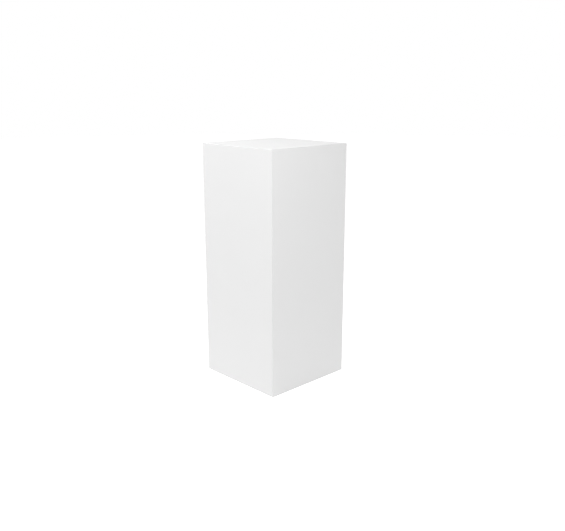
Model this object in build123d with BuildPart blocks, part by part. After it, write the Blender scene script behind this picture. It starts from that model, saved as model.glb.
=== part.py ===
from build123d import *

import os

os.makedirs("parts", exist_ok=True)

# A square display plinth: a mitred MDF shell on a softwood frame, with four levelling feet.
# The origin is on the floor under the middle of the plinth. +Z is up and -Y is the front.
# All sizes are in millimetres.

# Shell
width = 400.0  # outside width and depth
height = 950.0  # floor to display face
floor_gap = 3.0  # the shell's lower edge stands this far off the floor
board = 18.0  # MDF thickness
arris = 3.0  # rounding of the upright and top edges
base_arris = 1.5  # rounding of the edges nearest the floor

# Plywood tongues across the mitres
tongue_thick = 4.0
tongue_wide = 14.0
tongue_inset = 7.0  # from the inner face of a panel to the middle of the tongue
tongue_low = 40.0  # upright tongues run from here
tongue_high = 880.0  # to here
top_tongue_long = 300.0

# Softwood frame
post = 44.0  # square section of the corner posts
post_low = 20.0  # underside of the posts and base rails
post_relief = 6.0  # chamfer that keeps a post clear of glue in the shell's corner
rail_thick = 20.0
rail_deep = 44.0
mid_rail_low = 454.0
batten = 34.0  # square section of the rails under the top
timber_ease = 2.0  # planed rounding of the timber's long edges

# Countersunk screws
rail_screw = 4.0  # diameter of the screws through the rails
rail_screw_long = 30.0
top_screw_long = 45.0
post_screw = 4.5  # diameter of the screws through the posts
post_screw_long = 55.0
rail_screw_spread = 105.0  # the outer screws of a rail are this far from its middle
batten_screw_spread = 100.0
top_screw_spread = 50.0
post_screw_heights = (120.0, 400.0, 840.0)
post_screw_step = 20.0  # screws into the left and right panels are this much higher
screw_clearance = 0.05  # all round, between a screw and the hole it has cut
screw_head_rim = 0.4
screw_tip_long = 5.0
screw_tip_radius = 0.3

# Levelling feet, one under each post
thread = 8.0  # nominal M8
thread_bore_clearance = 0.05
stud_low = 9.05  # underside of the stud's hexagon
hexagon_thick = 4.95
hexagon_across = 13.0
stud_high = 44.0
stud_point = 1.0
neck_radius = 3.98
rivet_radius = 6.3
rivet_low = 2.2
rivet_high = 4.7
insert_radius = 6.0
insert_long = 18.0
insert_flange_radius = 10.0
insert_flange_thick = 1.5
insert_groove = 0.4
insert_groove_wide = 1.2
insert_grooves = 3
insert_groove_pitch = 4.0
foot_bore_high = 54.0  # top of the hole above the insert
pad_radius = 20.0
pad_low = 0.8
pad_rim_high = 4.5
pad_high = 9.0
pad_crown_radius = 11.0
pad_bore_radius = 4.05
pad_well_radius = 6.5
pad_well_high = 5.0
pad_ease = 0.8
sole_radius = 17.0
sole_thick = 2.0
sole_clearance = 0.05
sole_chamfer = 0.3

# Sizes that follow
half = width / 2
inner = half - board
underside = height - board
tongue_line = inner + tongue_inset
top_tongue_line = underside + tongue_inset
post_line = inner - post / 2
post_face = inner - post
post_long = underside - post_low
rail_line = inner - rail_thick / 2
batten_line = inner - batten / 2
batten_low = underside - batten
thread_radius = thread / 2 - thread_bore_clearance

from_below = (Align.CENTER, Align.CENTER, Align.MIN)

# Quarter turns about the upright axis, from the front and from the front right corner
sides = {"front": 0, "right": 90, "back": 180, "left": 270}
corners = {"front_right": 0, "back_right": 90, "back_left": 180, "front_left": 270}


def turned(x, y, z, turn):
    """A point or direction of the front quarter, turned to another quarter of the plinth."""
    return Vector(x, y, z).rotate(Axis.Z, turn)


def screw_group(seats, diameter, length, clearance=0.0):
    """Countersunk screws, each with its head flush in one of the seats, whose Z points out of it."""
    shank = diameter / 2 + clearance
    head = diameter + clearance
    cone = screw_head_rim + diameter / 2
    end = length + clearance
    with BuildPart() as screws:
        for seat in seats:
            with BuildSketch(Plane(seat.origin, x_dir=seat.x_dir, z_dir=-seat.y_dir)):
                with BuildLine():
                    Polyline(
                        (0, 0),
                        (head, 0),
                        (head, -screw_head_rim),
                        (shank, -cone),
                        (shank, screw_tip_long - end),
                        (screw_tip_radius, -end),
                        (0, -end),
                        close=True,
                    )
                make_face()
            revolve(axis=Axis(seat.origin, seat.z_dir))
    return screws.part


def cross_recessed(blanks, seats, diameter):
    """The same screws with a driver's cross sunk in each head."""
    with BuildPart() as screws:
        add(blanks)
        for seat in seats:
            with BuildSketch(seat):
                Rectangle(1.1 * diameter, 0.24 * diameter)
                Rectangle(0.24 * diameter, 1.1 * diameter)
            extrude(amount=-0.5 * diameter, mode=Mode.SUBTRACT)
    return screws.part


# Seats of the screws: the plane of each head, facing into the hollow of the plinth
def side_seats(reach, spread_places, level):
    """Heads on the inner faces of the four rails at one level."""
    return [
        Plane(turned(place, -reach, level, turn), z_dir=turned(0, 1, 0, turn))
        for turn in sides.values()
        for place in spread_places
    ]


rail_places = (-rail_screw_spread, 0.0, rail_screw_spread)
base_rail_seats = side_seats(inner - rail_thick, rail_places, post_low + rail_deep / 2)
mid_rail_seats = side_seats(inner - rail_thick, rail_places, mid_rail_low + rail_deep / 2)
batten_places = (-batten_screw_spread, batten_screw_spread)
top_rail_seats = side_seats(inner - batten, batten_places, underside - batten / 2)
top_panel_seats = [
    Plane(turned(place, -batten_line, batten_low, turn), z_dir=(0, 0, -1))
    for turn in sides.values()
    for place in (-top_screw_spread, top_screw_spread)
]
post_seats = []
for x in (-1, 1):
    for y in (-1, 1):
        for level in post_screw_heights:
            facing_y = (x * post_line, y * post_face, level)
            facing_x = (x * post_face, y * post_line, level + post_screw_step)
            post_seats.append(Plane(facing_y, z_dir=(0, -y, 0)))
            post_seats.append(Plane(facing_x, z_dir=(-x, 0, 0)))

screw_kinds = {
    "base_rail_screws": (base_rail_seats, rail_screw, rail_screw_long),
    "mid_rail_screws": (mid_rail_seats, rail_screw, rail_screw_long),
    "top_rail_screws": (top_rail_seats, rail_screw, top_screw_long),
    "top_panel_screws": (top_panel_seats, rail_screw, top_screw_long),
    "post_screws": (post_seats, post_screw, post_screw_long),
}
holes = {}
for kind, (seats, diameter, length) in screw_kinds.items():
    holes[kind] = screw_group(seats, diameter, length, screw_clearance)
    with BuildPart() as screws:
        add(cross_recessed(screw_group(seats, diameter, length), seats, diameter))
    screws.part.label = kind
    export_step(screws.part, f"parts/{kind}.step")

# Tongues across the four upright mitres
corner_tongues = []
for corner, turn in corners.items():
    foot = turned(tongue_line, -tongue_line, tongue_low, turn)
    with BuildPart(Plane(foot, x_dir=turned(1, 1, 0, turn), z_dir=(0, 0, 1))) as tongue:
        Box(tongue_wide, tongue_thick, tongue_high - tongue_low, align=from_below)
    tongue.part.label = f"corner_tongue_{corner}"
    export_step(tongue.part, f"parts/corner_tongue_{corner}.step")
    corner_tongues.append(tongue.part)

# Tongues across the four mitres round the top
top_tongues = []
for side, turn in sides.items():
    middle = turned(0, -tongue_line, top_tongue_line, turn)
    with BuildPart(Plane(middle, x_dir=turned(1, 0, 0, turn), z_dir=turned(0, -1, 1, turn))) as tongue:
        Box(top_tongue_long, tongue_wide, tongue_thick)
    tongue.part.label = f"top_tongue_{side}"
    export_step(tongue.part, f"parts/top_tongue_{side}.step")
    top_tongues.append(tongue.part)

# The whole shell before it is cut at its mitres
with BuildPart() as shell:
    with Locations((0, 0, floor_gap)):
        Box(width, width, height - floor_gap, align=from_below)
    fillet(shell.edges().filter_by(Axis.Z) + shell.edges().group_by(Axis.Z)[-1], arris)
    fillet(shell.edges().group_by(Axis.Z)[0], base_arris)
    with Locations((0, 0, floor_gap)):
        Box(2 * inner, 2 * inner, underside - floor_gap, align=from_below, mode=Mode.SUBTRACT)
    for tongue in corner_tongues + top_tongues:
        add(tongue, mode=Mode.SUBTRACT)
    for hole in holes.values():
        add(hole, mode=Mode.SUBTRACT)

# The four upright panels, each kept between its three mitres
for side, turn in sides.items():
    with BuildPart() as panel:
        add(shell.part)
        split(bisect_by=Plane((0, 0, 0), z_dir=turned(-1, -1, 0, turn)))
        split(bisect_by=Plane((0, 0, 0), z_dir=turned(1, -1, 0, turn)))
        split(bisect_by=Plane(turned(0, -half, height, turn), z_dir=turned(0, -1, -1, turn)))
    panel.part.label = f"{side}_panel"
    export_step(panel.part, f"parts/{side}_panel.step")

# The top panel, kept above the four mitres round it
with BuildPart() as top_panel:
    add(shell.part)
    for turn in sides.values():
        split(bisect_by=Plane(turned(0, -half, height, turn), z_dir=turned(0, 1, 1, turn)))
top_panel.part.label = "top_panel"
export_step(top_panel.part, "parts/top_panel.step")

# Corner posts, each bored for the insert of its levelling foot
for corner, turn in corners.items():
    foot = turned(post_line, -post_line, post_low, turn)
    with BuildPart() as corner_post:
        with Locations(foot):
            Box(post, post, post_long, align=from_below)
        shell_corner = turned(inner, -inner, height / 2, turn)
        fillet(
            corner_post.edges().filter_by(Axis.Z).sort_by_distance(shell_corner)[1:],
            timber_ease,
        )
        chamfer(
            corner_post.edges().filter_by(Axis.Z).sort_by_distance(shell_corner)[0],
            post_relief,
        )
        with Locations(foot):
            Cylinder(
                insert_radius,
                foot_bore_high - post_low,
                align=from_below,
                mode=Mode.SUBTRACT,
            )
            Cylinder(
                insert_flange_radius,
                insert_flange_thick,
                align=from_below,
                mode=Mode.SUBTRACT,
            )
        add(holes["post_screws"], mode=Mode.SUBTRACT)
    corner_post.part.label = f"corner_post_{corner}"
    export_step(corner_post.part, f"parts/corner_post_{corner}.step")

# Rails between the posts at the base, at mid height and under the top
rail_kinds = {
    "base_rail": (rail_line, rail_thick, post_low, rail_deep, ["base_rail_screws"]),
    "mid_rail": (rail_line, rail_thick, mid_rail_low, rail_deep, ["mid_rail_screws"]),
    "top_rail": (batten_line, batten, batten_low, batten, ["top_rail_screws", "top_panel_screws"]),
}
for kind, (line, thick, low, deep, drilled_by) in rail_kinds.items():
    for side, turn in sides.items():
        with BuildPart() as rail:
            with Locations(Location(turned(0, -line, low, turn), (0, 0, turn))):
                Box(2 * post_face, thick, deep, align=from_below)
            fillet(
                rail.edges().filter_by(Axis((0, 0, 0), turned(1, 0, 0, turn))),
                timber_ease,
            )
            for screws_name in drilled_by:
                add(holes[screws_name], mode=Mode.SUBTRACT)
        rail.part.label = f"{kind}_{side}"
        export_step(rail.part, f"parts/{kind}_{side}.step")

# Levelling feet: an insert in the post, a stud that turns in it, and a pad and sole below
for corner, turn in corners.items():
    centre = Plane(turned(post_line, -post_line, 0, turn), x_dir=(1, 0, 0), z_dir=(0, 0, 1))
    section = Plane(centre.origin, x_dir=centre.x_dir, z_dir=-centre.y_dir)
    upright = Axis(centre.origin, (0, 0, 1))

    with BuildPart(centre) as foot_insert:
        with Locations((0, 0, post_low)):
            Cylinder(insert_flange_radius, insert_flange_thick, align=from_below)
            Cylinder(insert_radius, insert_long, align=from_below)
            Cylinder(thread / 2, insert_long, align=from_below, mode=Mode.SUBTRACT)
        for groove in range(insert_grooves):
            level = post_low + insert_long - (groove + 1) * insert_groove_pitch
            with BuildSketch(Plane(centre.origin + (0, 0, level), z_dir=(0, 0, 1))):
                Circle(insert_radius)
                Circle(insert_radius - insert_groove, mode=Mode.SUBTRACT)
            extrude(amount=insert_groove_wide, mode=Mode.SUBTRACT)
    foot_insert.part.label = f"foot_insert_{corner}"
    export_step(foot_insert.part, f"parts/foot_insert_{corner}.step")

    with BuildPart() as foot_stud:
        with BuildSketch(section):
            with BuildLine():
                Polyline(
                    (0, rivet_low),
                    (rivet_radius, rivet_low),
                    (rivet_radius, rivet_high),
                    (neck_radius, rivet_high),
                    (neck_radius, stud_low + hexagon_thick / 2),
                    (thread_radius, stud_low + hexagon_thick / 2),
                    (thread_radius, stud_high - stud_point),
                    (thread_radius - stud_point, stud_high),
                    (0, stud_high),
                    close=True,
                )
            make_face()
        revolve(axis=upright)
        with BuildSketch(centre.offset(stud_low)):
            RegularPolygon(hexagon_across / 2, 6, major_radius=False)
        extrude(amount=hexagon_thick)
    foot_stud.part.label = f"foot_stud_{corner}"
    export_step(foot_stud.part, f"parts/foot_stud_{corner}.step")

    with BuildPart() as foot_pad:
        with BuildSketch(section):
            with BuildLine():
                Polyline(
                    (sole_radius + sole_clearance, pad_low),
                    (pad_radius, pad_low),
                    (pad_radius, pad_rim_high),
                    (pad_crown_radius, pad_high),
                    (pad_bore_radius, pad_high),
                    (pad_bore_radius, pad_well_high),
                    (pad_well_radius, pad_well_high),
                    (pad_well_radius, sole_thick),
                    (sole_radius + sole_clearance, sole_thick),
                    close=True,
                )
            make_face()
        revolve(axis=upright)
        outside = foot_pad.edges().filter_by(GeomType.CIRCLE).filter_by(
            lambda edge: edge.radius > pad_crown_radius - 1 and edge.center().Z > sole_thick
        )
        fillet(outside, pad_ease)
    foot_pad.part.label = f"foot_pad_{corner}"
    export_step(foot_pad.part, f"parts/foot_pad_{corner}.step")

    with BuildPart(centre) as foot_sole:
        Cylinder(sole_radius, sole_thick, align=from_below)
        chamfer(foot_sole.edges().group_by(Axis.Z)[0], sole_chamfer)
    foot_sole.part.label = f"foot_sole_{corner}"
    export_step(foot_sole.part, f"parts/foot_sole_{corner}.step")
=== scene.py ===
"""Looks of a square white display plinth: lacquered MDF shell, pine frame and levelling feet."""

import logging
import math
from dataclasses import dataclass, field
from enum import Enum
from typing import Any, Callable

import bmesh
import bpy
from mathutils import Matrix, Vector, noise


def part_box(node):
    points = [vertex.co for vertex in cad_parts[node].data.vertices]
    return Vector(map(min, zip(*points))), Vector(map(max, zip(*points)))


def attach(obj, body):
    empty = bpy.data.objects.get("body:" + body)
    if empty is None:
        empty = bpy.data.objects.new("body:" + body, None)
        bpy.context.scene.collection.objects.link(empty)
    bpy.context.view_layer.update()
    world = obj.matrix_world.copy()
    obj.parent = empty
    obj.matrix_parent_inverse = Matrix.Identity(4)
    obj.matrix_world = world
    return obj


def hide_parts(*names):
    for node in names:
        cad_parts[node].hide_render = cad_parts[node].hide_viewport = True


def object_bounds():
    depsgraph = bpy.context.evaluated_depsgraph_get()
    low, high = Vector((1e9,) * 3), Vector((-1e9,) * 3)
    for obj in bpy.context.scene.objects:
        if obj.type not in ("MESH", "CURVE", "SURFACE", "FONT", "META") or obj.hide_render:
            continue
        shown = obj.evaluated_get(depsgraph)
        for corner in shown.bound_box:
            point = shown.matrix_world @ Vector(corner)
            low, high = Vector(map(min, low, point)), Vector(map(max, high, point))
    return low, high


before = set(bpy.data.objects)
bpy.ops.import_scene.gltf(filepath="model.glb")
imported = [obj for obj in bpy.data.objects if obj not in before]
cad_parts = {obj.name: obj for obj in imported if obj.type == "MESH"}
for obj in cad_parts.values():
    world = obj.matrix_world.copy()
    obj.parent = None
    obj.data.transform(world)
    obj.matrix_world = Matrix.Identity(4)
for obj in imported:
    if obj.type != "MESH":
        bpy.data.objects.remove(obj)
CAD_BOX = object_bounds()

MM = 0.001
CREASE = math.radians(28)  # edges sharper than this are real edges, and stay crisp
WHITE = (1.0, 1.0, 1.0, 1.0)
log = logging.getLogger("plinth")


class Quarter(Enum):
    """The four sides of the plinth, as turns in degrees about its upright axis."""

    FRONT = 0
    RIGHT = 90
    BACK = 180
    LEFT = 270


class Grain(Enum):
    """Which way the grain of a timber runs, as an index into X, Y, Z."""

    X = 0
    Y = 1
    Z = 2


def linear(code: str) -> tuple[float, float, float, float]:
    """Turn an sRGB colour to linear light.

    Args:
        code: six hex digits, such as "E8E8E6".

    Returns:
        Linear red, green, blue and an alpha of 1.
    """
    parts = [int(code[i : i + 2], 16) / 255 for i in (0, 2, 4)]
    return (*[c / 12.92 if c <= 0.04045 else ((c + 0.055) / 1.055) ** 2.4 for c in parts], 1.0)


def add_node(
    tree: bpy.types.NodeTree,
    kind: str,
    settings: dict[Any, Any] | None = None,
    links: dict[Any, bpy.types.NodeSocket] | None = None,
) -> bpy.types.Node:
    """Add one shader node with its settings and links.

    Args:
        tree: the node tree that takes it.
        kind: the node's type name without its ShaderNode prefix.
        settings: values by property name, or by the name or number of an input.
        links: output sockets by the name or number of the input that each one feeds.

    Returns:
        The new node.
    """
    node = tree.nodes.new("ShaderNode" + kind)
    for name, value in (settings or {}).items():
        if isinstance(name, str) and hasattr(node, name):
            setattr(node, name, value)
        else:
            node.inputs[name].default_value = value
    for name, source in (links or {}).items():
        tree.links.new(source, node.inputs[name])
    return node


@dataclass(frozen=True)
class Finish:
    """A finish that can be made into a material. Kinds of finish override grow()."""

    name: str

    def grow(self, tree: bpy.types.NodeTree, place: bpy.types.NodeSocket, shader: bpy.types.Node) -> None:
        """Add the finish's own nodes.

        Args:
            tree: the material's node tree.
            place: the piece's own coordinates, in metres.
            shader: the Principled shader to feed.
        """
        raise NotImplementedError

    def make(self) -> bpy.types.Material:
        """Make the material.

        Returns:
            A new material that holds the finish.
        """
        material = bpy.data.materials.new(self.name)
        material.use_nodes = True
        tree = material.node_tree
        tree.nodes.clear()
        shader = add_node(tree, "BsdfPrincipled")
        place = add_node(tree, "TexCoord").outputs["Object"]
        self.grow(tree, place, shader)
        add_node(tree, "OutputMaterial", links={"Surface": shader.outputs["BSDF"]})
        return material


@dataclass(frozen=True)
class SatinLacquer(Finish):
    """Two-pack satin lacquer sprayed on filled, sanded MDF.

    It gives the eye an even, neutral white with a soft sheen, no grain, and a faint orange peel
    that only shows where a lamp's reflection breaks up.
    """

    body: str = "DADADA"
    thin: str = "D8D8D8"
    roughness: float = 0.56
    roughness_drift: float = 0.03
    ior: float = 1.5
    cloud: float = 140.0 * MM  # slow drift between two passes of the gun
    patch: float = 12.0 * MM  # patches that shine a little more or less
    peel: float = 3.0 * MM  # spray leaves peel about 1 mm across; drawn coarser so that it shows
    peel_high: float = 0.02 * MM

    def grow(self, tree: bpy.types.NodeTree, place: bpy.types.NodeSocket, shader: bpy.types.Node) -> None:
        """Cloudy near-white colour, drifting sheen and orange peel."""
        cloud = add_node(
            tree, "TexNoise", {"Scale": 1 / self.cloud, "Detail": 2.0, "Roughness": 0.45}, {"Vector": place}
        )
        shade = add_node(
            tree,
            "Mix",
            {"data_type": "RGBA", 6: linear(self.body), 7: linear(self.thin)},
            {0: cloud.outputs["Fac"]},
        )
        tree.links.new(shade.outputs[2], shader.inputs["Base Color"])
        patches = add_node(
            tree, "TexNoise", {"Scale": 1 / self.patch, "Detail": 3.0, "Roughness": 0.6}, {"Vector": place}
        )
        drift = self.roughness_drift
        sheen = add_node(
            tree,
            "MapRange",
            {"To Min": self.roughness - drift, "To Max": self.roughness + drift},
            {"Value": patches.outputs["Fac"]},
        )
        tree.links.new(sheen.outputs["Result"], shader.inputs["Roughness"])
        peel = add_node(
            tree, "TexNoise", {"Scale": 1 / self.peel, "Detail": 1.0, "Roughness": 0.4}, {"Vector": place}
        )
        bump = add_node(
            tree,
            "Bump",
            {"Strength": 0.25, "Distance": self.peel_high},
            {"Height": peel.outputs["Fac"]},
        )
        tree.links.new(bump.outputs["Normal"], shader.inputs["Normal"])
        shader.inputs["IOR"].default_value = self.ior


@dataclass(frozen=True)
class RawBoard(Finish):
    """Bare MDF, as on the inner faces and in the mitres.

    It gives the eye a dull brown felt of short fibres, with lacquer overspray near the floor.
    """

    fibre: str = "CDB08A"
    dark: str = "A5845C"
    overspray: str = "DEDCD8"
    roughness: float = 0.86
    fleck: float = 0.8 * MM  # a bundle of fibres
    fleck_high: float = 0.08 * MM
    spray_cover: float = 0.85  # of the overspray at the lower edge
    spray_reach: float = 26.0 * MM  # how far up it fades out
    spray_patch: float = 9.0 * MM
    spray_ragged: float = 40.0 * MM  # how far the patches shift the fade up and down

    def grow(self, tree: bpy.types.NodeTree, place: bpy.types.NodeSocket, shader: bpy.types.Node) -> None:
        """Fibre flecks in two browns, and a ragged white fade from the lower edge."""
        fleck = add_node(
            tree, "TexNoise", {"Scale": 1 / self.fleck, "Detail": 4.0, "Roughness": 0.7}, {"Vector": place}
        )
        brown = add_node(
            tree,
            "Mix",
            {"data_type": "RGBA", 6: linear(self.dark), 7: linear(self.fibre)},
            {0: fleck.outputs["Fac"]},
        )
        ragged = add_node(
            tree,
            "TexNoise",
            {"Scale": 1 / self.spray_patch, "Detail": 4.0, "Roughness": 0.65},
            {"Vector": place},
        )
        height = add_node(tree, "SeparateXYZ", links={"Vector": place})
        blown = add_node(
            tree,
            "Math",
            {"operation": "MULTIPLY_ADD", 1: self.spray_ragged},
            {0: ragged.outputs["Fac"], 2: height.outputs["Z"]},
        )
        start = self.spray_ragged / 2
        cover = add_node(
            tree,
            "MapRange",
            {
                "From Min": start,
                "From Max": start + self.spray_reach,
                "To Min": self.spray_cover,
                "To Max": 0.0,
            },
            {"Value": blown.outputs["Value"]},
        )
        shade = add_node(
            tree,
            "Mix",
            {"data_type": "RGBA", 7: linear(self.overspray)},
            {0: cover.outputs["Result"], 6: brown.outputs[2]},
        )
        tree.links.new(shade.outputs[2], shader.inputs["Base Color"])
        bump = add_node(
            tree,
            "Bump",
            {"Strength": 0.5, "Distance": self.fleck_high},
            {"Height": fleck.outputs["Fac"]},
        )
        tree.links.new(bump.outputs["Normal"], shader.inputs["Normal"])
        shader.inputs["Roughness"].default_value = self.roughness


@dataclass(frozen=True)
class PlanedPine(Finish):
    """Planed redwood pine, bare.

    It gives the eye straight honey-coloured growth rings, each shading to a brown edge where the
    wood grew late, with short dark resin streaks along the grain and a knot here and there.
    """

    grain: Grain = Grain.Z
    pith: tuple[float, float, float] = (0.0, 0.0, 0.0)
    early: str = "E6CDA2"
    early_share: float = 0.4  # of each ring, before it starts to darken
    late: str = "C2935C"
    resin: str = "8F6236"
    knot: str = "6E4425"
    roughness: float = 0.58
    ring: float = 4.5 * MM  # a wide ring of quick-grown pine
    wander: float = 2.2  # how far the rings stray from true circles
    pore: float = 0.7 * MM  # resin ducts are about 0.2 mm wide; drawn coarser so that they show
    pore_deep: float = 0.06 * MM
    drawn_out: float = 0.06  # width of the pattern for its length along the grain
    streak_levels: tuple[float, float] = (0.52, 0.72)  # of the pore noise, where resin sets in
    streak_cover: float = 0.55
    knot_cell: float = 110.0 * MM  # about one knot in each
    knot_reach: tuple[float, float] = (5.0 * MM, 8.0 * MM)
    knot_swell: float = 3.0  # phase by which the rings bend round a knot
    swell_reach: float = 32.0 * MM

    def grow(self, tree: bpy.types.NodeTree, place: bpy.types.NodeSocket, shader: bpy.types.Node) -> None:
        """Rings about the pith line that swell round knots, and resin streaks along the grain."""
        along = [1.0, 1.0, 1.0]
        along[self.grain.value] = self.drawn_out
        moved = add_node(
            tree, "Mapping", {"Location": self.pith, "Scale": tuple(along)}, {"Vector": place}
        )
        knots = add_node(
            tree, "TexVoronoi", {"Scale": 1 / self.knot_cell, "Randomness": 1.0}, {"Vector": place}
        )
        rings = self.rings(tree, moved.outputs["Vector"], knots.outputs["Distance"])
        pores = add_node(
            tree,
            "TexNoise",
            {"Scale": 1 / self.pore, "Detail": 3.0, "Roughness": 0.6},
            {"Vector": moved.outputs["Vector"]},
        )
        clear, full = self.streak_levels
        streaks = add_node(
            tree,
            "MapRange",
            {"From Min": clear, "From Max": full, "To Min": 0.0, "To Max": self.streak_cover},
            {"Value": pores.outputs["Fac"]},
        )
        wood = add_node(
            tree,
            "Mix",
            {"data_type": "RGBA", 7: linear(self.resin)},
            {0: streaks.outputs["Result"], 6: rings},
        )
        core = self.near_knot(tree, knots.outputs["Distance"], self.knot_reach[1], 1.0)
        shade = add_node(
            tree,
            "Mix",
            {"data_type": "RGBA", 7: linear(self.knot)},
            {0: core, 6: wood.outputs[2]},
        )
        tree.links.new(shade.outputs[2], shader.inputs["Base Color"])
        bump = add_node(
            tree,
            "Bump",
            {"Strength": 0.4, "Distance": self.pore_deep},
            {"Height": pores.outputs["Fac"]},
        )
        tree.links.new(bump.outputs["Normal"], shader.inputs["Normal"])
        shader.inputs["Roughness"].default_value = self.roughness

    def near_knot(
        self, tree: bpy.types.NodeTree, distance: bpy.types.NodeSocket, reach: float, most: float
    ) -> bpy.types.NodeSocket:
        """Turn the distance to the nearest knot to a value that fades away from it.

        Args:
            tree: the material's node tree.
            distance: the distance, in knot cells.
            reach: how far from the knot's middle the value fades to 0, in metres.
            most: the value inside the knot.

        Returns:
            The value's socket.
        """
        near = self.knot_reach[0] / self.knot_cell
        fade = add_node(
            tree,
            "MapRange",
            {"From Min": near, "From Max": reach / self.knot_cell, "To Min": most, "To Max": 0.0},
            {"Value": distance},
        )
        return fade.outputs["Result"]

    def rings(
        self, tree: bpy.types.NodeTree, moved: bpy.types.NodeSocket, distance: bpy.types.NodeSocket
    ) -> bpy.types.NodeSocket:
        """Draw the growth rings.

        Args:
            tree: the material's node tree.
            moved: coordinates about the pith line.
            distance: the distance to the nearest knot, in knot cells.

        Returns:
            The socket of the rings' colour.
        """
        rings = add_node(
            tree,
            "TexWave",
            {
                "wave_type": "RINGS",
                "rings_direction": self.grain.name,
                "wave_profile": "SAW",
                "Scale": math.tau / (20 * self.ring),  # the node draws 20 / tau rings to a unit
                "Distortion": self.wander,
                "Detail": 2.0,
                "Detail Scale": 0.35,
            },
            {
                "Vector": moved,
                "Phase Offset": self.near_knot(tree, distance, self.swell_reach, self.knot_swell),
            },
        )
        ramp = add_node(tree, "ValToRGB", links={"Fac": rings.outputs["Fac"]})
        ramp.color_ramp.elements[0].color = linear(self.early)
        ramp.color_ramp.elements[0].position = self.early_share
        ramp.color_ramp.elements[1].color = linear(self.late)
        return ramp.outputs["Color"]


@dataclass(frozen=True)
class BirchPly(Finish):
    """A strip of birch plywood, sawn on its edges.

    It gives the eye pale, straight veneers with a darker line of glue between them.
    """

    through: tuple[float, float, float] = (0.0, 0.0, 1.0)  # across the veneers
    grain: Grain = Grain.Z
    face: str = "E8D3AC"
    fibre: str = "CFAF7E"
    glue: str = "8A6238"
    roughness: float = 0.62
    veneer: float = 1.3 * MM
    glue_line: float = 0.12 * MM
    pore: float = 0.9 * MM  # birch pores are about 0.1 mm wide; drawn coarser so that they show
    pore_deep: float = 0.05 * MM
    drawn_out: float = 0.05  # width of the fibres for their length along the grain

    def grow(self, tree: bpy.types.NodeTree, place: bpy.types.NodeSocket, shader: bpy.types.Node) -> None:
        """Veneer bands with thin glue lines, broken up by fine fibres."""
        depth = add_node(
            tree, "VectorMath", {"operation": "DOT_PRODUCT", 1: self.through}, {0: place}
        )
        layer = add_node(
            tree, "Math", {"operation": "PINGPONG", 1: self.veneer / 2}, {0: depth.outputs["Value"]}
        )
        line = add_node(
            tree,
            "MapRange",
            {"From Min": 0.0, "From Max": self.glue_line, "To Min": 1.0, "To Max": 0.0},
            {"Value": layer.outputs["Value"]},
        )
        along = [1.0, 1.0, 1.0]
        along[self.grain.value] = self.drawn_out
        drawn = add_node(tree, "Mapping", {"Scale": tuple(along)}, {"Vector": place})
        fibre = add_node(
            tree, "TexNoise", {"Scale": 1 / self.pore, "Detail": 3.0}, {"Vector": drawn.outputs["Vector"]}
        )
        wood = add_node(
            tree,
            "Mix",
            {"data_type": "RGBA", 6: linear(self.fibre), 7: linear(self.face)},
            {0: fibre.outputs["Fac"]},
        )
        shade = add_node(
            tree,
            "Mix",
            {"data_type": "RGBA", 7: linear(self.glue)},
            {0: line.outputs["Result"], 6: wood.outputs[2]},
        )
        tree.links.new(shade.outputs[2], shader.inputs["Base Color"])
        bump = add_node(
            tree,
            "Bump",
            {"Strength": 0.5, "Distance": self.pore_deep},
            {"Height": fibre.outputs["Fac"]},
        )
        tree.links.new(bump.outputs["Normal"], shader.inputs["Normal"])
        shader.inputs["Roughness"].default_value = self.roughness


@dataclass(frozen=True)
class ZincPlate(Finish):
    """Bright zinc plating on turned steel.

    It gives the eye a cool grey metal with a slightly milky, uneven shine.
    """

    bright: str = "C9CDD0"
    dull: str = "A9ADB0"
    roughness: tuple[float, float] = (0.22, 0.42)  # where it is dull and where it is bright
    mottle: float = 1.6 * MM  # patches of the passivated zinc
    mottle_high: float = 0.02 * MM

    def grow(self, tree: bpy.types.NodeTree, place: bpy.types.NodeSocket, shader: bpy.types.Node) -> None:
        """Mottled zinc, with the same mottle in its roughness and bump."""
        mottle = add_node(
            tree, "TexNoise", {"Scale": 1 / self.mottle, "Detail": 3.0}, {"Vector": place}
        )
        shade = add_node(
            tree,
            "Mix",
            {"data_type": "RGBA", 6: linear(self.dull), 7: linear(self.bright)},
            {0: mottle.outputs["Fac"]},
        )
        tree.links.new(shade.outputs[2], shader.inputs["Base Color"])
        least, most = self.roughness
        rough = add_node(
            tree, "MapRange", {"To Min": least, "To Max": most}, {"Value": mottle.outputs["Fac"]}
        )
        tree.links.new(rough.outputs["Result"], shader.inputs["Roughness"])
        bump = add_node(
            tree,
            "Bump",
            {"Strength": 0.3, "Distance": self.mottle_high},
            {"Height": mottle.outputs["Fac"]},
        )
        tree.links.new(bump.outputs["Normal"], shader.inputs["Normal"])
        shader.inputs["Metallic"].default_value = 1.0


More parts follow.
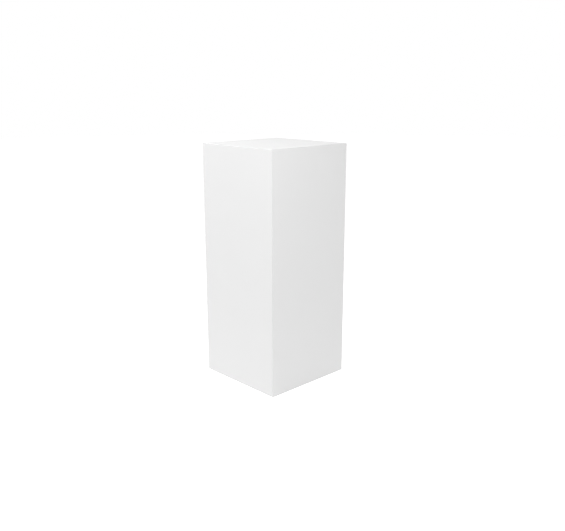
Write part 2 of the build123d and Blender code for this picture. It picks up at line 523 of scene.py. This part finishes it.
@dataclass(frozen=True)
class Moulded(Finish):
    """A moulded black polymer: nylon for the pads and rubber for the soles.

    It gives the eye a near-black with the fine pitted grain of a spark-eroded mould, and a
    little grey bloom on the rubber.
    """

    deep: str = "141415"
    bloom: str = "232324"
    roughness: float = 0.5
    ior: float = 1.53
    haze: float = 7.0 * MM
    pit: float = 0.6 * MM  # mould grain is about 0.2 mm; drawn coarser so that it shows
    pit_deep: float = 0.04 * MM

    def grow(self, tree: bpy.types.NodeTree, place: bpy.types.NodeSocket, shader: bpy.types.Node) -> None:
        """Slow bloom in the colour and a pitted mould grain."""
        haze = add_node(tree, "TexNoise", {"Scale": 1 / self.haze, "Detail": 3.0}, {"Vector": place})
        shade = add_node(
            tree,
            "Mix",
            {"data_type": "RGBA", 6: linear(self.deep), 7: linear(self.bloom)},
            {0: haze.outputs["Fac"]},
        )
        tree.links.new(shade.outputs[2], shader.inputs["Base Color"])
        pits = add_node(
            tree, "TexVoronoi", {"Scale": 1 / self.pit, "Randomness": 1.0}, {"Vector": place}
        )
        bump = add_node(
            tree,
            "Bump",
            {"Strength": 0.6, "Distance": self.pit_deep},
            {"Height": pits.outputs["Distance"]},
        )
        tree.links.new(bump.outputs["Normal"], shader.inputs["Normal"])
        shader.inputs["Roughness"].default_value = self.roughness
        shader.inputs["IOR"].default_value = self.ior


@dataclass(frozen=True)
class PaleFloor(Finish):
    """Seamless white studio floor that glows with light of its own until it has no shade, and glows
    brighter in a painted pool of light round the plinth.
    """

    tone: str = "F2F2F2"
    roughness: float = 0.9
    glow: float = 0.3
    painted_light_pool: float = 0.14  # painted pool of light: the floor glows this much more round the plinth, which lifts the foot of its faces
    painted_light_pool_reach: tuple[float, float] = (0.3, 0.8)

    def grow(self, tree: bpy.types.NodeTree, place: bpy.types.NodeSocket, shader: bpy.types.Node) -> None:
        """Matt white that glows with a little light of its own, so that no hard shadow shows, and glows
        more in a painted pool of light round the plinth.
        """
        shader.inputs["Base Color"].default_value = linear(self.tone)
        shader.inputs["Roughness"].default_value = self.roughness
        shader.inputs["Emission Color"].default_value = WHITE
        away = add_node(tree, "VectorMath", {"operation": "LENGTH"}, {0: place})
        near, far = self.painted_light_pool_reach
        # painted pool of light: the floor's own glow is stronger near the plinth than further out
        light = add_node(
            tree,
            "MapRange",
            {
                "interpolation_type": "SMOOTHSTEP",
                "From Min": near,
                "From Max": far,
                "To Min": self.glow + self.painted_light_pool,
                "To Max": self.glow,
            },
            {"Value": away.outputs["Value"]},
        )
        tree.links.new(light.outputs["Result"], shader.inputs["Emission Strength"])


def dress(piece: bpy.types.Object, *materials: bpy.types.Material) -> None:
    """Give a piece these materials in place of any it has. Its faces keep their slots.

    Args:
        piece: the object to dress.
        materials: one for each of its material slots.
    """
    slots = piece.data.materials
    for place, material in enumerate(materials):
        if place < len(slots):
            slots[place] = material
        else:
            slots.append(material)


def new_piece(name: str, mesh: bmesh.types.BMesh) -> bpy.types.Object:
    """Turn a bmesh into an object in the scene, smooth but for its real edges.

    Args:
        name: the piece's name.
        mesh: its geometry, which is freed.

    Returns:
        The new object.
    """
    bmesh.ops.recalc_face_normals(mesh, faces=mesh.faces)
    data = bpy.data.meshes.new(name)
    mesh.to_mesh(data)
    mesh.free()
    data.shade_smooth()
    data.set_sharp_from_angle(angle=CREASE)
    piece = bpy.data.objects.new(name, data)
    bpy.context.scene.collection.objects.link(piece)
    return piece


@dataclass(frozen=True)
class Station:
    """One grid line of a panel.

    Attributes:
        sharp: its place on the board before the edges are rounded.
        core: the centre that the rounded edge turns about.
        lean: the tangent of the surface normal's lean, 0 on the flat.
        drop: the angle turned round the lower edge, 0 above it.
    """

    sharp: float
    core: float
    lean: float = 0.0
    drop: float = 0.0


@dataclass
class Shell:
    """The five mitred panels, as sanded and sprayed after gluing up."""

    arris: float = 3.0 * MM
    base_arris: float = 1.5 * MM
    arris_steps: int = 7
    holding: float = 0.8 * MM  # a grid line this close to each rounding keeps the flat flat
    cell: float = 22.0 * MM
    waviness: float = 0.05 * MM  # long-board sanding leaves the faces this far from flat
    wave_length: float = 170.0 * MM
    fade: float = 40.0 * MM  # the waves die out over this distance from an edge
    weld: float = 0.001 * MM  # corners of a cutter that are nearer than this are one
    half: float = field(init=False)
    inner: float = field(init=False)
    low: float = field(init=False)
    underside: float = field(init=False)
    high: float = field(init=False)

    def __post_init__(self) -> None:
        """Take the shell's sizes from the frame."""
        front_low, front_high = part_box("front_panel")
        top_low, top_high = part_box("top_panel")
        self.half = -front_low.y
        self.inner = -front_high.y
        self.low = front_low.z
        self.underside = top_low.z
        self.high = top_high.z

    def flat(self, start: float, end: float) -> list[Station]:
        """Even grid lines across the flat of a face, with a holding line at each end.

        Args:
            start: where the flat starts.
            end: where it ends.

        Returns:
            The stations in order, ends included.
        """
        inside = [start + self.holding, end - self.holding]
        count = round((inside[1] - inside[0]) / self.cell)
        steps = [inside[0] + (inside[1] - inside[0]) * i / count for i in range(count + 1)]
        return [Station(at, at) for at in (start, *steps, end)]

    def rounding(self, edge: float, sign: int) -> list[Station]:
        """Grid lines round half of an arris, from the flat out to the mitre.

        Args:
            edge: where the board's sharp edge was.
            sign: 1 at a high edge and -1 at a low one.

        Returns:
            The stations, the one on the flat left out.
        """
        core = edge - sign * self.arris
        turns = [math.radians(45 * i / self.arris_steps) for i in range(1, self.arris_steps + 1)]
        leans = [math.tan(turn) for turn in turns]
        return [Station(core + sign * lean * self.arris, core, sign * lean) for lean in leans]

    def mitred(self, half: float) -> list[Station]:
        """Grid lines across a face that is mitred at both edges, which are at -half and half."""
        flat = self.flat(self.arris - half, half - self.arris)
        return self.rounding(-half, -1)[::-1] + flat + self.rounding(half, 1)

    def upright(self) -> list[Station]:
        """Grid lines up a side panel, from its lower edge to the mitre under the top."""
        base = self.low + self.base_arris
        turns = [math.radians(90 * i / self.arris_steps) for i in range(self.arris_steps, 0, -1)]
        foot = [Station(self.low + self.base_arris * (1 - math.sin(a)), base, 0.0, a) for a in turns]
        return foot + self.flat(base, self.high - self.arris) + self.rounding(self.high, 1)

    def outside(self, across: Station, up: Station, level: float) -> Vector:
        """A point of the lacquered skin.

        Args:
            across: the grid line across the panel.
            up: the grid line up the panel.
            level: how far the face stands from the panel's own origin.

        Returns:
            The point as across, up and out.
        """
        out = Vector((across.lean, up.lean, 1.0)).normalized()
        point = Vector((across.core, up.core, level - self.arris)) + self.arris * out
        if up.drop:
            point -= self.base_arris * (1 - math.cos(up.drop)) * out
            point.y = up.sharp
        return point

    def wave(self, point: Vector, reach: tuple[float, float, float, float], seed: float) -> float:
        """How far sanding has taken the face down at a point.

        Args:
            point: across, up and out.
            reach: the lowest and highest across, and the lowest and highest up.
            seed: a number that sets this panel's waves apart.

        Returns:
            A depth of 0 or more, which is 0 at the edges.
        """
        to_edge = min(point.x - reach[0], reach[1] - point.x, point.y - reach[2], reach[3] - point.y)
        share = min(max(to_edge / self.fade, 0.0), 1.0)
        swell = noise.noise(Vector((point.x, point.y, seed)) / self.wave_length)
        return self.waviness * share * share * (3 - 2 * share) * (0.5 + 0.5 * swell)

    def sheet(
        self, name: str, across: list[Station], up: list[Station], turn: Matrix, level: float
    ) -> bpy.types.Object:
        """Build one closed board: skin, back and the edges between them.

        Args:
            name: the piece's name.
            across: grid lines across it.
            up: grid lines up it.
            turn: from across, up and out to the plinth's own axes.
            level: how far the face stands from the origin.

        Returns:
            The board, with lacquer as slot 0 and bare board as slot 1.
        """
        plain_foot = bool(up[0].drop)
        back = level - (self.half - self.inner)
        reach = (across[0].sharp, across[-1].sharp, up[0].sharp, up[-1].sharp)
        shrink = self.inner / self.half
        rise = (self.underside - self.low) / (self.high - self.low)
        mesh = bmesh.new()
        skin, lining = [], []
        for row in up:
            inside = self.low + (row.sharp - self.low) * rise if plain_foot else row.sharp * shrink
            skin.append([])
            lining.append([])
            for column in across:
                point = self.outside(column, row, level)
                point.z -= self.wave(point, reach, level + len(name) + turn[0][0])
                skin[-1].append(mesh.verts.new(turn @ point))
                lining[-1].append(mesh.verts.new(turn @ Vector((column.sharp * shrink, inside, back))))
        rows, columns = len(up), len(across)

        def quad(corners: list[bmesh.types.BMVert], slot: int) -> None:
            """Add a face with a material slot."""
            mesh.faces.new(corners).material_index = slot

        for j in range(rows - 1):
            for i in range(columns - 1):
                quad([skin[j][i], skin[j][i + 1], skin[j + 1][i + 1], skin[j + 1][i]], 0)
                quad([lining[j][i], lining[j + 1][i], lining[j + 1][i + 1], lining[j][i + 1]], 1)
        for j in range(rows - 1):
            for i in (0, columns - 1):
                quad([skin[j][i], skin[j + 1][i], lining[j + 1][i], lining[j][i]], 1)
        for i in range(columns - 1):
            for j, slot in ((0, 0 if plain_foot else 1), (rows - 1, 1)):
                quad([skin[j][i], skin[j][i + 1], lining[j][i + 1], lining[j][i]], slot)
        return new_piece(name, mesh)

    def carve(self, board: bpy.types.Object, nodes: list[str]) -> None:
        """Cut the grooves and screw holes that the frame's own pieces need.

        Args:
            board: the board to cut.
            nodes: names of the frame's pieces that sit in it.
        """
        tool = bmesh.new()
        for node in nodes:
            tool.from_mesh(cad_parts[node].data)
        bmesh.ops.remove_doubles(tool, verts=tool.verts, dist=self.weld)
        for face in tool.faces:
            face.material_index = 1
        data = bpy.data.meshes.new("cutter")
        tool.to_mesh(data)
        tool.free()
        cutter = bpy.data.objects.new("cutter", data)
        bpy.context.scene.collection.objects.link(cutter)
        for slot in board.data.materials:
            cutter.data.materials.append(slot)
        cut = board.modifiers.new("cut", "BOOLEAN")
        cut.operation = "DIFFERENCE"
        cut.solver = "EXACT"
        cut.object = cutter
        shapes = bpy.context.evaluated_depsgraph_get()
        carved = bpy.data.meshes.new_from_object(board.evaluated_get(shapes))
        board.modifiers.clear()
        board.data = carved
        board.data.shade_smooth()
        board.data.set_sharp_from_angle(angle=CREASE)
        bpy.data.objects.remove(cutter)

    def build(self, lacquer: bpy.types.Material, bare: bpy.types.Material) -> None:
        """Make the five panels and put them in place of the frame's own.

        Args:
            lacquer: the outside finish.
            bare: the inside finish.
        """
        screws = ["base_rail_screws", "mid_rail_screws", "top_rail_screws", "post_screws"]
        tongues = [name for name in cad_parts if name.startswith("corner_tongue")]
        boards = []
        for side in Quarter:
            turn = Matrix.Rotation(math.radians(side.value), 3, "Z")
            turn = turn @ Matrix(((1, 0, 0), (0, 0, -1), (0, 1, 0)))
            label = side.name.lower()
            fittings = [name for name in tongues if label in name] + screws + [f"top_tongue_{label}"]
            boards.append((label, self.mitred(self.half), self.upright(), turn, self.half, fittings))
        tops = [f"top_tongue_{side.name.lower()}" for side in Quarter]
        flat = self.mitred(self.half)
        boards.append(("top", flat, flat, Matrix.Identity(3), self.high, tops + ["top_panel_screws"]))
        for label, across, up, turn, level, fittings in boards:
            board = self.sheet(f"{label}_board", across, up, turn, level)
            dress(board, lacquer, bare)
            self.carve(board, fittings)
            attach(board, "carcass")
            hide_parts(f"{label}_panel")
            log.info("%s: %d faces", board.name, len(board.data.polygons))


@dataclass
class TimberFrame:
    """The pine posts and rails and the plywood tongues, which keep the frame's own shapes."""

    timbers: tuple[str, ...] = ("corner_post", "base_rail", "mid_rail", "top_rail")
    pith_offset: float = 38.0 * MM  # from a timber's middle, in towards the plinth's

    def longest(self, size: Vector) -> Grain:
        """The grain of a piece of this size, which runs along it."""
        return Grain(max(range(3), key=lambda axis: size[axis]))

    def dress_timber(self, name: str, node: bpy.types.Object) -> None:
        """Dress a post or a rail with its grain along its length.

        Args:
            name: the name of the frame's piece.
            node: its object.
        """
        low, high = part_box(name)
        middle = (low + high) / 2
        grain = self.longest(high - low)
        pith = tuple(math.copysign(self.pith_offset, place) - place for place in middle)
        dress(node, PlanedPine(f"planed pine {name}", grain, pith).make())
        log.info("%s: grain along %s", name, grain.name)

    def dress_tongue(self, name: str, node: bpy.types.Object) -> None:
        """Dress a tongue with its veneers side by side across its thickness.

        Args:
            name: the name of the frame's piece.
            node: its object.
        """
        low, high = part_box(name)
        middle = (low + high) / 2
        through = Vector((middle.x, middle.y, 0.0)).normalized()
        if name.startswith("top_tongue"):
            through = (through + Vector((0, 0, 1))).normalized()
        dress(node, BirchPly(f"birch plywood {name}", tuple(through), self.longest(high - low)).make())
        log.info("%s: veneers along %s", name, tuple(round(c, 2) for c in through))

    def build(self) -> None:
        """Dress every timber and every tongue."""
        for name, node in sorted(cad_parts.items()):
            if "tongue" in name:
                self.dress_tongue(name, node)
            elif name.startswith(self.timbers) and "screws" not in name:
                self.dress_timber(name, node)


Ring = tuple[float, Callable[[float], float]]  # a level and the radius at each angle


def lathe(name: str, centre: Vector, rings: list[Ring], around: int) -> bpy.types.Object:
    """Turn a closed piece about an upright axis.

    Args:
        name: the piece's name.
        centre: a point on the axis.
        rings: the rings in order along the profile; the first and last are closed over.
        around: points in each ring.

    Returns:
        The piece, in place.
    """
    mesh = bmesh.new()
    angles = [math.tau * i / around for i in range(around)]
    loops = []
    for level, radius in rings:
        spots = [(radius(a) * math.cos(a), radius(a) * math.sin(a)) for a in angles]
        loops.append([mesh.verts.new((centre.x + x, centre.y + y, level)) for x, y in spots])
    for below, above in zip(loops, loops[1:]):
        for i in range(around):
            j = (i + 1) % around
            mesh.faces.new([below[i], below[j], above[j], above[i]])
    mesh.faces.new(loops[0][::-1])
    mesh.faces.new(loops[-1])
    return new_piece(name, mesh)


def steady(radius: float) -> Callable[[float], float]:
    """A radius that is the same at every angle."""
    return lambda angle: radius


@dataclass
class Ironmongery:
    """Screws, inserts and pads, which keep the frame's own shapes, and the studs and soles."""

    pitch: float = 1.25 * MM
    around: int = 48
    rows_per_turn: int = 8
    crest: float = 3.95 * MM  # radius of the thread
    depth: float = 0.61 * MM  # of an M8 external thread
    flats: tuple[float, float] = (0.12, 0.84)  # of half a pitch: the root's end, the crest's start
    neck: float = 3.98 * MM  # radius
    rivet: float = 6.3 * MM  # radius
    rivet_high: float = 2.5 * MM  # this and the next two above the stud's lower end
    hexagon_low: float = 6.85 * MM
    hexagon_high: float = 11.8 * MM
    chamfer: float = 0.9 * MM  # of the hexagon's corners
    ease: float = 0.4 * MM  # rounding of the rivet and the sole
    point: float = 1.0 * MM  # chamfer of the stud's upper end
    sole_around: int = 72
    sole_grooves: int = 5
    sole_groove: float = 0.5 * MM  # depth; each is about as wide as the land beside it
    sole_hub: float = 3.0 * MM
    sole_land: float = 1.5 * MM

    def stud(self, corner: str) -> bpy.types.Object:
        """Turn one levelling stud: rivet, neck, hexagon and a real right-hand thread.

        Args:
            corner: the name of the corner that it stands in.

        Returns:
            The stud, in place.
        """
        low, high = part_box(f"foot_stud_{corner}")
        apothem = (high.y - low.y) / 2
        base, top = low.z + self.hexagon_low, low.z + self.hexagon_high
        root_end, crest_start = self.flats

        def hexagon(angle: float) -> float:
            """The radius of the hexagon at an angle."""
            return apothem / math.cos((angle % math.radians(60)) - math.radians(30))

        def rounded(angle: float) -> float:
            """The radius of the hexagon's chamfered ends at an angle."""
            return min(hexagon(angle), apothem)

        def ridge(angle: float, level: float) -> float:
            """The radius of the thread at an angle and a level."""
            phase = (level / self.pitch - angle / math.tau) % 1.0
            rise = 1.0 - abs(2.0 * phase - 1.0)
            shape = min(max((rise - root_end) / (crest_start - root_end), 0.0), 1.0)
            run_out = min(max((level - top) / self.pitch, 0.0), 1.0)
            point = min(max((high.z - level) / self.point, 0.0), 1.0)
            return self.crest - self.depth * (1 - shape) * run_out - self.point * (1 - point)

        rings: list[Ring] = [
            (low.z, steady(self.rivet - self.ease)),
            (low.z + self.ease, steady(self.rivet)),
            (low.z + self.rivet_high - self.ease, steady(self.rivet)),
            (low.z + self.rivet_high, steady(self.rivet - self.ease)),
            (low.z + self.rivet_high, steady(self.neck)),
            (base, steady(self.neck)),
            (base, rounded),
            (base + self.chamfer / 2, hexagon),
            (top - self.chamfer / 2, hexagon),
            (top, rounded),
            (top, steady(self.crest)),
        ]
        count = round((high.z - top) / self.pitch * self.rows_per_turn)
        for step in range(1, count + 1):
            level = top + (high.z - top) * step / count
            rings.append((level, lambda angle, level=level: ridge(angle, level)))
        return lathe(f"threaded_stud_{corner}", (low + high) / 2, rings, self.around)

    def sole(self, corner: str) -> bpy.types.Object:
        """Mould one rubber sole, with ring grooves in its underside that keep it from sliding.

        Args:
            corner: the name of the corner that it stands in.

        Returns:
            The sole, in place.
        """
        low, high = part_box(f"foot_sole_{corner}")
        radius = (high.x - low.x) / 2
        step = (radius - self.sole_land - self.sole_hub) / self.sole_grooves
        rings: list[Ring] = [(low.z, steady(self.sole_hub / 2))]
        for groove in range(self.sole_grooves):
            start = self.sole_hub + groove * step
            rings += [
                (low.z, steady(start)),
                (low.z + self.sole_groove, steady(start + self.sole_groove / 2)),
                (low.z + self.sole_groove, steady(start + step / 2)),
                (low.z, steady(start + step / 2 + self.sole_groove / 2)),
            ]
        rings += [
            (low.z, steady(radius - self.ease)),
            (low.z + self.ease, steady(radius)),
            (high.z, steady(radius)),
            (high.z, steady(self.sole_hub)),
        ]
        return lathe(f"grooved_sole_{corner}", (low + high) / 2, rings, self.sole_around)

    def build(self) -> None:
        """Make the studs and the soles, and dress the rest."""
        zinc = ZincPlate("bright zinc plated steel").make()
        nylon = Moulded("moulded black nylon").make()
        rubber = Moulded(
            "moulded black rubber",
            deep="121212",
            bloom="2A2A29",
            roughness=0.78,
            ior=1.52,
            pit=0.9 * MM,
        ).make()
        for name, node in sorted(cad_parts.items()):
            corner = name.removeprefix("foot_stud_").removeprefix("foot_sole_")
            if "screws" in name or name.startswith("foot_insert"):
                dress(node, zinc)
            elif name.startswith("foot_pad"):
                dress(node, nylon)
            elif name.startswith("foot_sole"):
                sole = self.sole(corner)
                dress(sole, rubber)
                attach(sole, f"foot_{corner}")
                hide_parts(name)
            elif name.startswith("foot_stud"):
                stud = self.stud(corner)
                dress(stud, zinc)
                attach(stud, f"stud_{corner}")
                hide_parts(name)
            else:
                continue
            log.info("%s: dressed", name)


@dataclass(frozen=True)
class Lamp:
    """One soft square lamp."""

    name: str
    place: tuple[float, float, float]
    size: float  # length of a side, in metres
    power: float  # in watts

    def hang(self, scene: bpy.types.Scene, aim: Vector) -> None:
        """Put the lamp in its place.

        Args:
            scene: the scene that takes it.
            aim: the point that it faces.
        """
        data = bpy.data.lights.new(self.name, "AREA")
        data.shape = "SQUARE"
        data.size = self.size
        data.energy = self.power
        lamp = bpy.data.objects.new(self.name, data)
        lamp.location = self.place
        lamp.rotation_mode = "QUATERNION"
        lamp.rotation_quaternion = (aim - Vector(self.place)).to_track_quat("-Z", "Y")
        scene.collection.objects.link(lamp)


@dataclass
class Studio:
    """Pale floor, white surround, soft lamps and the camera.

    Two of the lamps are large and far, and three are small and near the top of the plinth. All
    are aimed at its middle.
    """

    lamps: tuple[Lamp, ...] = (
        Lamp("overhead", (0.3, -0.3, 4.5), 2.4, 22.7),
        Lamp("left", (-2.6, -1.6, 1.8), 1.6, 15.7),
        Lamp("top left", (-0.7, -0.6, 1.7), 0.5, 3.5),
        Lamp("front corner", (0.85, -0.95, 1.25), 0.6, 2.2),
        Lamp("right", (0.75, -0.45, 1.3), 0.5, 0.96),
    )
    lens: float = 44.9
    sensor: float = 36.0
    clip: tuple[float, float] = (0.05, 100.0)
    azimuth: float = 46.16  # of the view, in degrees: 0 looks along +Y
    pitch: float = 14.57  # downwards, in degrees
    eye_height: float = 1.2411  # this and the next two in heights of the plinth
    distance: float = 2.6328  # to the nearest upright edge
    sidestep: float = 0.0391
    floor_radius: float = 14.0
    floor_sides: int = 96
    surround: float = 0.84  # mean strength of its light
    surround_drift: float = 0.25  # how much stronger it is behind and weaker in front
    behind: tuple[float, float, float] = (-0.7071, 0.7071, 0.0)  # towards the back left

    def build(self) -> None:
        """Set up the camera, the floor, the surround and the lamps."""
        scene = bpy.context.scene
        scene.view_settings.view_transform = "Standard"
        self.camera(scene)
        self.floor(scene)
        self.world(scene)
        low, high = CAD_BOX
        for lamp in self.lamps:
            lamp.hang(scene, Vector((0, 0, (low.z + high.z) / 2)))

    def camera(self, scene: bpy.types.Scene) -> None:
        """Place the camera by the plinth's height and nearest upright edge.

        Args:
            scene: the scene that takes it.
        """
        low, high = CAD_BOX
        tall = high.z - low.z
        turn, tilt = math.radians(self.azimuth), math.radians(self.pitch)
        ahead = Vector((-math.sin(turn), math.cos(turn), 0.0))
        aside = Vector((math.cos(turn), math.sin(turn), 0.0))
        edge = Vector((high.x, low.y, 0.0))
        data = bpy.data.cameras.new("camera")
        data.lens = self.lens
        data.sensor_width = self.sensor
        data.clip_start, data.clip_end = self.clip
        camera = bpy.data.objects.new("camera", data)
        camera.location = edge - ahead * self.distance * tall + aside * self.sidestep * tall
        camera.location.z = self.eye_height * tall
        view = ahead * math.cos(tilt) - Vector((0, 0, math.sin(tilt)))
        camera.rotation_mode = "QUATERNION"
        camera.rotation_quaternion = view.to_track_quat("-Z", "Y")
        scene.collection.objects.link(camera)
        scene.camera = camera

    def floor(self, scene: bpy.types.Scene) -> None:
        """Lay a round floor under the plinth.

        It follows one foot, so that the plinth still stands on it when the feet are wound
        right out or in together.

        Args:
            scene: the scene that takes it.
        """
        mesh = bmesh.new()
        bmesh.ops.create_circle(
            mesh, cap_ends=True, segments=self.floor_sides, radius=self.floor_radius
        )
        data = bpy.data.meshes.new("floor")
        mesh.to_mesh(data)
        mesh.free()
        floor = bpy.data.objects.new("floor", data)
        scene.collection.objects.link(floor)
        dress(floor, PaleFloor("pale studio floor").make())
        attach(floor, "foot_front_right")

    def world(self, scene: bpy.types.Scene) -> None:
        """Surround the plinth with a white cyclorama that gives most light from behind it.

        The cyclorama is white wherever it is looked at. The light it gives is weaker towards
        the front right, where the studio is open, so that the right panel is the shaded one.

        Args:
            scene: the scene that takes it.
        """
        world = bpy.data.worlds.new("surround")
        world.use_nodes = True
        tree = world.node_tree
        tree.nodes.clear()
        way = add_node(tree, "TexCoord").outputs["Generated"]
        behind = add_node(tree, "VectorMath", {"operation": "DOT_PRODUCT", 1: self.behind}, {0: way})
        level = add_node(
            tree,
            "Math",
            {"operation": "MULTIPLY_ADD", 1: self.surround_drift, 2: self.surround},
            {0: behind.outputs["Value"]},
        )
        light = add_node(tree, "Background", {"Color": WHITE}, {"Strength": level.outputs["Value"]})
        wall = add_node(tree, "Background", {"Color": WHITE, "Strength": 1.0})
        seen = add_node(tree, "LightPath").outputs["Is Camera Ray"]
        both = add_node(
            tree,
            "MixShader",
            links={0: seen, 1: light.outputs["Background"], 2: wall.outputs["Background"]},
        )
        add_node(tree, "OutputWorld", links={"Surface": both.outputs["Shader"]})
        scene.world = world


def main() -> None:
    """Build the plinth's looks in order."""
    logging.basicConfig(level=logging.INFO, format="%(name)s: %(message)s")
    Studio().build()
    Shell().build(SatinLacquer("white satin lacquer").make(), RawBoard("bare mdf").make())
    TimberFrame().build()
    Ironmongery().build()


if __name__ == "__main__":
    main()
